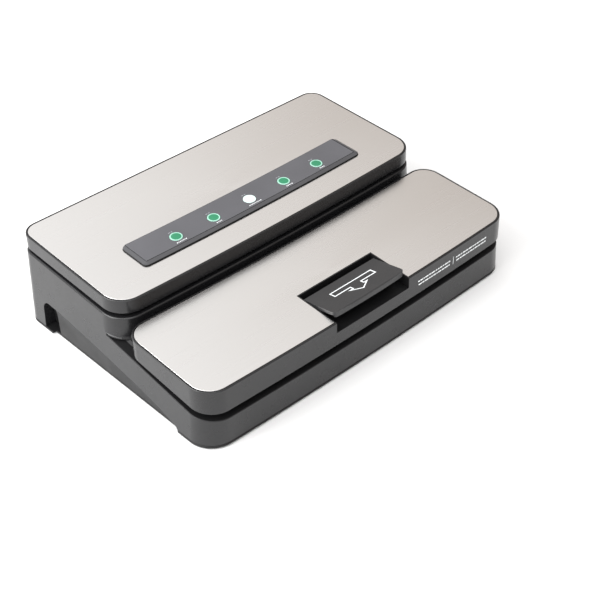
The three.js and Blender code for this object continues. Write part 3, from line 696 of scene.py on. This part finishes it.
# ---- the lids ----
def rim_levels(bottom, top):
    """A lid's rim in section, from the ceiling inside, around the outside, to the plate's seat."""
    return ([(WALL, top, -PLATE_THICKNESS - GAP - SKIN), (WALL, bottom, 0.5), (WALL - 0.4, bottom, 0)]
            + round_under(bottom, 0.9) + round_over(top, 1.0)
            + [(1.4, top, 0), (1.65, top, -0.25), (1.65, top, -PLATE_THICKNESS - GAP)])


def plate_levels(top):
    edge = RIM_WIDTH + GAP
    return [(edge + 0.15, top, -PLATE_THICKNESS), (edge, top, -PLATE_THICKNESS + 0.15)] + \
        round_over(top, 0.35, wall=edge, steps=4)


def lug_room(side, hinge, z, y):
    return block("room", span(side, hinge["lugs"][0] - 0.6, hinge["lugs"][1] + 0.5), y, z)


def build_rear_lid():
    rim = stack("rear_rim", REAR_LID, rim_levels(rear_lid_bottom, rear_lid_top))
    window_x = (-BOARD_WINDOW["half"], BOARD_WINDOW["half"])
    window_y = (BOARD_WINDOW["front"], BOARD_WINDOW["rear"])
    cut(rim, block("opening", window_x, window_y, (80, 100)),
        *both_sides(lambda side: lug_room(side, REAR_HINGE, (70, REAR_HINGE["z"] + 4), (133, 145))))
    join(rim, *both_sides(lambda side: knuckle(side, REAR_HINGE)))
    cut(rim, *both_sides(lambda side: pin_bore(side, REAR_HINGE)))
    smooth(rim)
    finish_piece(rim, "rear_lid", BLACK, ["rear_lid_frame"])
    plate = stack("rear_plate_skin", REAR_LID, plate_levels(rear_lid_top))
    cut(plate, stack("opening", inset(PANEL, -0.4), [(0, level(80), 0), (0, level(120), 0)]))
    smooth(plate)
    finish_piece(plate, "rear_lid", PLATE, ["rear_lid_plate"])


def panel_plan(wall):
    """The panel's outline moved in by a wall: the rear edge moves a quarter as far, as its lip is narrow."""
    return inset(PANEL, wall, wall * 0.25)


def panel_ring(wall, rise):
    return ring(panel_plan(wall), rear_lid_top, rise)


def button_places():
    xs = [(i - (BUTTON_COUNT - 1) / 2) * BUTTON_PITCH for i in range(BUTTON_COUNT)]
    return [(x, button_y(x)) for x in xs]


def build_panel():
    side_top = PANEL_RISE - PANEL_BEVEL_DROP
    sections = [(0.1, -PLATE_THICKNESS + 0.1), (0, -PLATE_THICKNESS + 0.4), (0, side_top - 0.35),
                (0.12, side_top - 0.12), (0.4, side_top), (PANEL_BEVEL_WIDTH - 0.2, PANEL_RISE - 0.05),
                (PANEL_BEVEL_WIDTH, PANEL_RISE), (PANEL_BEVEL_WIDTH + 0.25, PANEL_RISE - 0.05),
                (PANEL_BEVEL_WIDTH + 0.3, PANEL_RISE - 0.55)]
    bezel = loft("panel_pad", [panel_ring(*section) for section in sections])
    wells = []
    radius, stem = BUTTON_RADIUS + GAP, 2.6
    for x, y in button_places():
        floor = panel_top(y) - WELL_DEPTH
        profile = [(0, 80), (stem, 80), (stem, floor), (radius, floor), (radius, 120), (0, 120)]
        wells.append(lathe("well", profile, (x, y, 0)))
    smooth(cut(bezel, *wells))
    finish_piece(bezel, "rear_lid", PANEL_LIP, ["panel_bezel"])
    # Painted shade: the bezel's upright walls, the step down to the film and the sunken key-well floors get
    # the dark plastic.
    paint_faces(bezel, DARK_PLASTIC_AND_PAINTED_SHADE, lambda x, y, z, normal:
                abs(normal.z) < 0.5 or z < panel_top(y) - 0.4 and normal.z > 0.99)
    chamfer = 0.12
    sections = [(FILM_EDGE, PANEL_RISE - 0.5), (FILM_EDGE, PANEL_RISE - chamfer),
                (FILM_EDGE + chamfer, PANEL_RISE)]
    film = loft("panel_film_sheet", [panel_ring(*section) for section in sections])
    holes = [drum("hole", (x, y), (80, 120), radius, 48) for x, y in button_places()]
    smooth(cut(film, *holes))
    finish_piece(film, "rear_lid", PANEL_FILM)


def build_buttons():
    """Membrane keys: a pale ring around a slightly domed coloured centre, on a short stem."""
    centre_radius, rim_height = 5.0, 0.34
    profile = [(0, -7), (2.1, -7), (2.1, -0.9), (BUTTON_RADIUS - 0.1, -0.9), (BUTTON_RADIUS, -0.8),
               (BUTTON_RADIUS, 0.12), (BUTTON_RADIUS - 0.12, 0.28), (BUTTON_RADIUS - 0.35, rim_height),
               (centre_radius + 0.25, rim_height), (centre_radius, 0.24)]
    profile += [(centre_radius * math.cos(a), 0.2 + 0.14 * math.sin(a)) for a in quarter_turn(6)[1:-1]]
    profile.append((0, rim_height))
    for number, (x, y) in enumerate(button_places(), start=1):
        top = panel_top(y)
        cap = lathe(f"key_{number}", profile, (x, y, top), tilt=math.atan(REAR_LID_SLOPE), sides=64)
        smooth(cap, degrees=50)
        white = number == (BUTTON_COUNT + 1) // 2
        finish_piece(cap, f"pad_{number}",
                     PAD_WHITE if white else PAD_MINT, [f"button_{number}"])
        paint_faces(cap, PAD_WHITE if white else PAD_GREEN, lambda px, py, z, normal:
                    math.hypot(px - x, py - y) < centre_radius and z > top - 0.6 and normal.z > 0.2)


def panel_bars(name, bars, material):
    """Printed marks as thin raised bars on the panel. Each bar is (x centre, y centre, width, depth)."""
    verts, faces = [], []
    for x, y, width, depth in bars:
        base = len(verts)
        for rise in (-PRINT_SINK, PRINT_RISE):
            for dx, dy in ((-1, -1), (1, -1), (1, 1), (-1, 1)):
                py = y + dy * depth / 2
                verts.append((x + dx * width / 2, py, panel_top(py) + rise))
        faces.append((base + 3, base + 2, base + 1, base))
        faces.append((base + 4, base + 5, base + 6, base + 7))
        for i in range(4):
            j = (i + 1) % 4
            faces.append((base + i, base + j, base + 4 + j, base + 4 + i))
    finish_piece(new_object(name, verts, faces), "rear_lid", material)


def build_panel_marks():
    """Plain dashes over and under each key."""
    away, dash_depth, mark_depth, mark_pitch = 8.6, 0.6, 1.2, 1.75
    marks_under_keys = (7, 4, 9, 5, 4)
    dashes, marks = [], []
    for (x, y), count in zip(button_places(), marks_under_keys):
        dashes += [(x - 1.7, y + away, 2.2, dash_depth), (x + 1.2, y + away, 1.8, dash_depth)]
        for i in range(count):
            offset, width = (i - (count - 1) / 2) * mark_pitch, 1.15 - 0.3 * (i % 2)
            marks.append((x + offset, y - away, width, mark_depth))
    panel_bars("key_dashes", dashes, PRINT_DIM)
    panel_bars("key_captions", marks, PRINT)


def build_front_lid():
    rim = stack("front_rim", FRONT_LID, rim_levels(front_lid_bottom, front_lid_top))
    half, rear, floor, border = NOTCH["half"], NOTCH["rear"], NOTCH["floor"], NOTCH["rim"]
    well_front = -139.4

    def wall_block(name, wall, bottom, under):
        y0, y1 = well_front, rear + wall
        points = [(y0, bottom), (y1, bottom), (y1, front_lid_top(y1) - under),
                  (y0, front_lid_top(y0) - under)]
        return push_x(name, points, -half - wall, half + wall)

    well = wall_block("well", SKIN, floor - SKIN, PLATE_THICKNESS + GAP + 0.5)
    lip = wall_block("lip", border, floor + 1, 0)
    join(rim, well, lip, *both_sides(lambda side: knuckle(side, FRONT_HINGE)))
    cut(rim, block("notch", (-half, half), (-160, rear), (floor, 90)),
        *both_sides(lambda side: lug_room(side, FRONT_HINGE, (30, FRONT_HINGE["z"] + 3.4), (-35, -15))),
        *both_sides(lambda side: pin_bore(side, FRONT_HINGE)),
        rod_x("bore", (-half - 1.2, half + 1.2), HANDLE["pivot_y"], HANDLE["pivot_z"], HANDLE["bore"], 20))
    smooth(rim)
    finish_piece(rim, "front_lid", BLACK, ["front_lid_frame"])
    # Painted shade: the faces inside the lever's well get the dark plastic.
    near = 0.1
    paint_faces(rim, DARK_PLASTIC_AND_PAINTED_SHADE, lambda x, y, z, normal:
                abs(x) < half + near and well_front - near < y < rear + near
                and floor - near < z < front_lid_top(y) - 0.4)
    plate = stack("front_plate_skin", FRONT_LID, plate_levels(front_lid_top))
    gap = border + GAP
    cut(plate, block("notch", (-half - gap, half + gap), (-160, rear + gap), (40, 90)))
    smooth(plate)
    finish_piece(plate, "front_lid", PLATE, ["front_lid_plate"])


def build_lever():
    """The latch lever: a tilted flat grip with a rounded nose and a barrel on the pin."""
    half, rear, front, thick = HANDLE["half"], HANDLE["rear"], HANDLE["front"], HANDLE["thickness"]
    rear_top = front_lid_top(rear) - HANDLE["rear_drop"]
    front_top = front_lid_top(front) + HANDLE["front_rise"]
    flat_rear, flat_front = rear - 0.5, front + 1.4
    nose = [(flat_front - 1.5 * math.sin(a), front_top - 1.4 + 1.4 * math.cos(a)) for a in quarter_turn(5)]
    points = [(rear, rear_top - 0.6), (rear + 0.3, rear_top - thick), (rear - 8, rear_top - thick - 0.4),
              (front + 3, front_top - thick), (front + 2.2, front_top - thick - 2.4),
              (front - 0.2, front_top - thick - 2.4)] + list(reversed(nose)) + [(flat_rear, rear_top)]
    lever = push_x("lever", points, -half, half)
    plan = dict(half=half, front=front - 0.15, bow=1.1, rear=rear + 1, rear_bow=0, radius=4.5,
                rear_radius=0.8)
    combine(lever, [stack("lever_plan", plan, [(0, level(50), 0), (0, level(90), 0)])], "INTERSECT")
    soften(lever, 0.8, segments=3, degrees=40)
    join(lever, rod_x("barrel", (-half + 1, half - 1), HANDLE["pivot_y"], HANDLE["pivot_z"], 3))
    cut(lever, rod_x("bore", (-half - 1, half + 1), HANDLE["pivot_y"], HANDLE["pivot_z"], HANDLE["bore"], 20))
    smooth(lever)
    finish_piece(lever, "handle", LEVER_BLACK, ["latch_handle"])
    slope = (front_top - rear_top) / (flat_front - flat_rear)
    build_arrow(lambda y: rear_top + slope * (y - flat_rear))


def build_arrow(surface):
    """A generic outlined arrow on the lever, pointing to the front."""
    centre, line, rise = 1.4, 1.2, 0.08
    half_bar, half_neck, half_head = 26.8, 7.4, 12.9
    rear, bar, neck, tip = -108.6, -116.6, -119.4, -127.2
    right = [(half_bar, rear), (half_bar, bar), (half_neck, bar), (half_neck, neck), (half_head, neck),
             (0, tip)]
    shape = right + [(-x, y) for x, y in reversed(right[:-1])]
    shape = [(centre + x, y) for x, y in shape]
    inner = offset_outline(shape, line)
    verts, faces = [], []
    for height in (-PRINT_SINK, rise):
        for loop in (shape, inner):
            verts += [(x, y, surface(y) + height) for x, y in loop]
    count = len(shape)
    outer_low, inner_low, outer_high, inner_high = 0, count, 2 * count, 3 * count
    for i in range(count):
        j = (i + 1) % count
        faces.append((outer_high + i, outer_high + j, inner_high + j, inner_high + i))
        faces.append((outer_low + j, outer_low + i, inner_low + i, inner_low + j))
        faces.append((outer_low + i, outer_low + j, outer_high + j, outer_high + i))
        faces.append((inner_low + j, inner_low + i, inner_high + i, inner_high + j))
    arrow = recalculate(new_object("lever_arrow", verts, faces))
    finish_piece(arrow, "handle", PRINT)


def offset_outline(points, distance):
    """The outline moved to its inside by a distance, mitred at the corners."""
    area = sum(a[0] * b[1] - b[0] * a[1] for a, b in zip(points, points[1:] + points[:1]))
    sign = 1 if area > 0 else -1
    moved = []
    for i, point in enumerate(points):
        before = Vector(point) - Vector(points[i - 1])
        after = Vector(points[(i + 1) % len(points)]) - Vector(point)
        normals = [Vector((-v.y, v.x)).normalized() * sign for v in (before, after)]
        middle = (normals[0] + normals[1]).normalized()
        reach = distance / max(0.3, middle.dot(normals[0]))
        moved.append(tuple(Vector(point) + middle * reach))
    return moved


def build_front_print():
    """Two rows of plain dashes and a divider on the front of the lid, right of the lever."""
    rows, runs = (54.6, 50.6), ((60, 106), (114.5, 161))
    half_height, space, shortest = 0.7, 0.9, 1.5
    divider = (110.4, 110.9, 48.4, 57.4)
    half, front, bow, radius = (FRONT_LID[key] for key in ("half", "front", "bow", "radius"))
    arc_radius, centre_y, *_ = bowed_edge(half, front, bow, radius, 1)
    verts, faces = [], []

    def patch(x0, x1, z0, z1):
        steps = max(1, round((x1 - x0) / 2))
        base = len(verts)
        for i in range(steps + 1):
            x = x0 + (x1 - x0) * i / steps
            y = centre_y - math.sqrt(arc_radius ** 2 - x ** 2)
            back, face = y + PRINT_SINK, y - PRINT_RISE
            verts.extend([(x, back, z0), (x, face, z0), (x, face, z1), (x, back, z1)])
        for i in range(steps):
            for k in range(4):
                a, b = base + 4 * i + k, base + 4 * i + (k + 1) % 4
                faces.append((a, b, b + 4, a + 4))
        faces.append((base + 3, base + 2, base + 1, base))
        last = base + 4 * steps
        faces.append((last, last + 1, last + 2, last + 3))

    lengths = (2.2, 3.6, 1.6, 4.4, 2.8, 5.0, 2.0)
    for row, z in enumerate(rows):
        for start, end in runs:
            x, i = start + row * 0.8, row * 3
            while x < end - shortest:
                width = min(lengths[i % len(lengths)], end - x)
                patch(x, x + width, z - half_height, z + half_height)
                x += width + space
                i += 1
    patch(*divider)
    marks = recalculate(new_object("front_print", verts, faces))
    finish_piece(marks, "front_lid", PRINT)


# ---- seals ----
def gasket(name, low, high, body, node):
    """A silicone ring with a double lip."""
    half, front, rear = GASKET["half"], GASKET["front"], GASKET["rear"]
    section = [(0, 0), (0, 0.5), (0.25, 0.78), (0.8, 0.95), (1.5, 1.0), (2.2, 0.95), (2.7, 0.8), (3.0, 0.72),
               (3.3, 0.8), (3.8, 0.95), (4.5, 1.0), (5.2, 0.95), (5.75, 0.78), (6, 0.5), (6, 0)]
    rings = []
    for wall, share in section:
        plan = rounded_rect(half - wall, front + wall, rear - wall, GASKET["radius"] - wall)
        rings.append([(x, y, low(y) + (high(y) - low(y)) * share) for x, y in outline(plan)])
    seal = smooth(loft(name, rings, wrap=True), degrees=50)
    finish_piece(seal, body, SILICONE, [node])


def liner_z(y):
    return front_lid_bottom(y) + LINER_RISE


def gasket_middle(y):
    return (deck(y) + liner_z(y)) / 2


def build_seals():
    gasket("gasket_lower_ring", lambda y: deck(y) + GAP, lambda y: gasket_middle(y) - 0.2,
           "base", "lower_gasket")
    gasket("gasket_upper_ring", lambda y: liner_z(y) - GAP, lambda y: gasket_middle(y) + 0.2,
           "front_lid", "upper_gasket")
    plan = rounded_rect(HEATER["half"] - 2, HEATER["y"] - 4, HEATER["y"] + 4, 2)
    low, high = (lambda y: deck(y) + 1.8 + 3 * GAP + 0.2), (lambda y: liner_z(y) - GAP)
    strip = stack("press_strip_bar", plan, round_under(low, 1.2) + round_over(high, 0.4))
    finish_piece(smooth(strip), "front_lid", SILICONE, ["press_strip"])


# ---- carried-over parts ----
def dress_cad_nodes():
    """Gives every CAD part that still shows its own material and softened edges."""
    slots = {row["node"]: row["material_slot"] for row in frame["record"]["subparts"]}
    hidden = {name for piece in bpy.context.scene.objects for name in piece.get("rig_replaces", [])}
    for name, piece in frame["nodes"].items():
        if name in hidden:
            continue
        material = SLOT_MATERIALS[slots[name]]
        piece.data.materials.clear()
        piece.data.materials.append(material)
        soften(piece, 0.2, segments=2, degrees=30)
        piece.data.shade_smooth()
        piece.data.set_sharp_from_angle(angle=math.radians(30))


# ---- studio ----
def build_floor():
    size, below = 6000, 0.1
    corners = [(-size, -size), (size, -size), (size, size), (-size, size)]
    floor = new_object("floor", [(x, y, -below) for x, y in corners], [(0, 1, 2, 3)])
    paint = Nodes("floor_paper")
    paint.link(paint.ramp(paint.noise(3), 0.86, 0.88), paint.shader.inputs["Base Color"])
    paint.set(Roughness=0.85)
    paint.shader.inputs["Specular IOR Level"].default_value = 0.1
    floor.data.materials.append(paint.material)


def add_softbox(name, place, target, size, energy):
    lamp = bpy.data.lights.new(name, "AREA")
    lamp.shape = "RECTANGLE"
    lamp.size, lamp.size_y = size
    lamp.energy = energy
    holder = bpy.data.objects.new(name, lamp)
    holder.location = place
    holder.rotation_euler = (Vector(target) - Vector(place)).to_track_quat("-Z", "Y").to_euler()
    bpy.context.scene.collection.objects.link(holder)


def build_sky():
    """A sky that is bright and neutral on the left, dim and warm on the right, and white at the horizon."""
    world = bpy.data.worlds.new("studio")
    bpy.context.scene.world = world
    world.use_nodes = True
    tree = world.node_tree
    background = tree.nodes["Background"]
    place = tree.nodes.new("ShaderNodeTexCoord").outputs["Generated"]

    def gradient(direction, low, high, at_low, at_high):
        facing = tree.nodes.new("ShaderNodeVectorMath")
        facing.operation = "DOT_PRODUCT"
        facing.inputs[1].default_value = direction
        tree.links.new(place, facing.inputs[0])
        node = tree.nodes.new("ShaderNodeMapRange")
        for name, value in (("From Min", low), ("From Max", high), ("To Min", at_low), ("To Max", at_high)):
            node.inputs[name].default_value = value
        tree.links.new(facing.outputs["Value"], node.inputs["Value"])
        return node.outputs["Result"]

    def mix(kind, factor, first, second):
        node = tree.nodes.new("ShaderNodeMix")
        node.data_type = kind
        tree.links.new(factor, node.inputs["Factor"])
        sockets = [socket for socket in node.inputs if socket.enabled and socket.name in ("A", "B")]
        for socket, value in zip(sockets, (first, second)):
            if isinstance(value, bpy.types.NodeSocket):
                tree.links.new(value, socket)
            else:
                socket.default_value = value
        return next(socket for socket in node.outputs if socket.enabled)

    towards_left = (-0.74, 0.21, 0.64)
    horizon = gradient((0, 0, 1), 0.02, 0.22, 1, 0)
    tint = mix("RGBA", gradient(towards_left, -0.06, 0.24, 0, 1), (1, 0.905, 0.83, 1), (1, 1, 1, 1))
    strength = gradient(towards_left, -0.3, 0.34, 0.25, 1.21)
    tree.links.new(mix("RGBA", horizon, tint, (1, 1, 1, 1)), background.inputs["Color"])
    tree.links.new(mix("FLOAT", horizon, strength, 1.0), background.inputs["Strength"])


def build_lights():
    build_sky()
    sun = bpy.data.lights.new("window", "SUN")
    sun.energy = 1.0
    sun.angle = math.radians(50)
    holder = bpy.data.objects.new("window", sun)
    holder.rotation_euler = Vector((-0.45, -0.5, 0.95)).to_track_quat("Z", "Y").to_euler()
    bpy.context.scene.collection.objects.link(holder)
    add_softbox("key_left", (-1.5, 0.35, 1.0), (-0.3, 0.1, 0.0), (1.4, 1.4), 37)


CAMERA = dict(yaw=-40.97, pitch=37.4956, roll=-2.5168, lens=75.70, distance=1243.1, target=(0, -11.5, 1.5),
              shift=0.0251)


def build_camera():
    yaw, pitch, roll = (math.radians(CAMERA[key]) for key in ("yaw", "pitch", "roll"))
    back = Vector((math.sin(yaw) * math.cos(pitch), -math.cos(yaw) * math.cos(pitch), math.sin(pitch)))
    right = Vector((math.cos(yaw), math.sin(yaw), 0))
    up = back.cross(right)
    rolled_right = right * math.cos(roll) + up * math.sin(roll)
    rolled_up = up * math.cos(roll) - right * math.sin(roll)
    lens = bpy.data.cameras.new("camera")
    lens.sensor_width = 36
    lens.lens = CAMERA["lens"]
    lens.shift_x = CAMERA["shift"]
    lens.clip_start = 0.05
    holder = bpy.data.objects.new("camera", lens)
    place = (Vector(CAMERA["target"]) + back * CAMERA["distance"]) * MM
    turn = Matrix((rolled_right, rolled_up, back)).transposed().to_4x4()
    holder.matrix_world = Matrix.Translation(place) @ turn
    bpy.context.scene.collection.objects.link(holder)
    bpy.context.scene.camera = holder


build_camera()
build_housing()
build_pan()
build_feet()
build_screws()
build_rear_lid()
build_panel()
build_buttons()
build_panel_marks()
build_front_lid()
build_lever()
build_front_print()
build_seals()
dress_cad_nodes()
build_floor()
build_lights()
bpy.context.scene.view_settings.view_transform = "Standard"
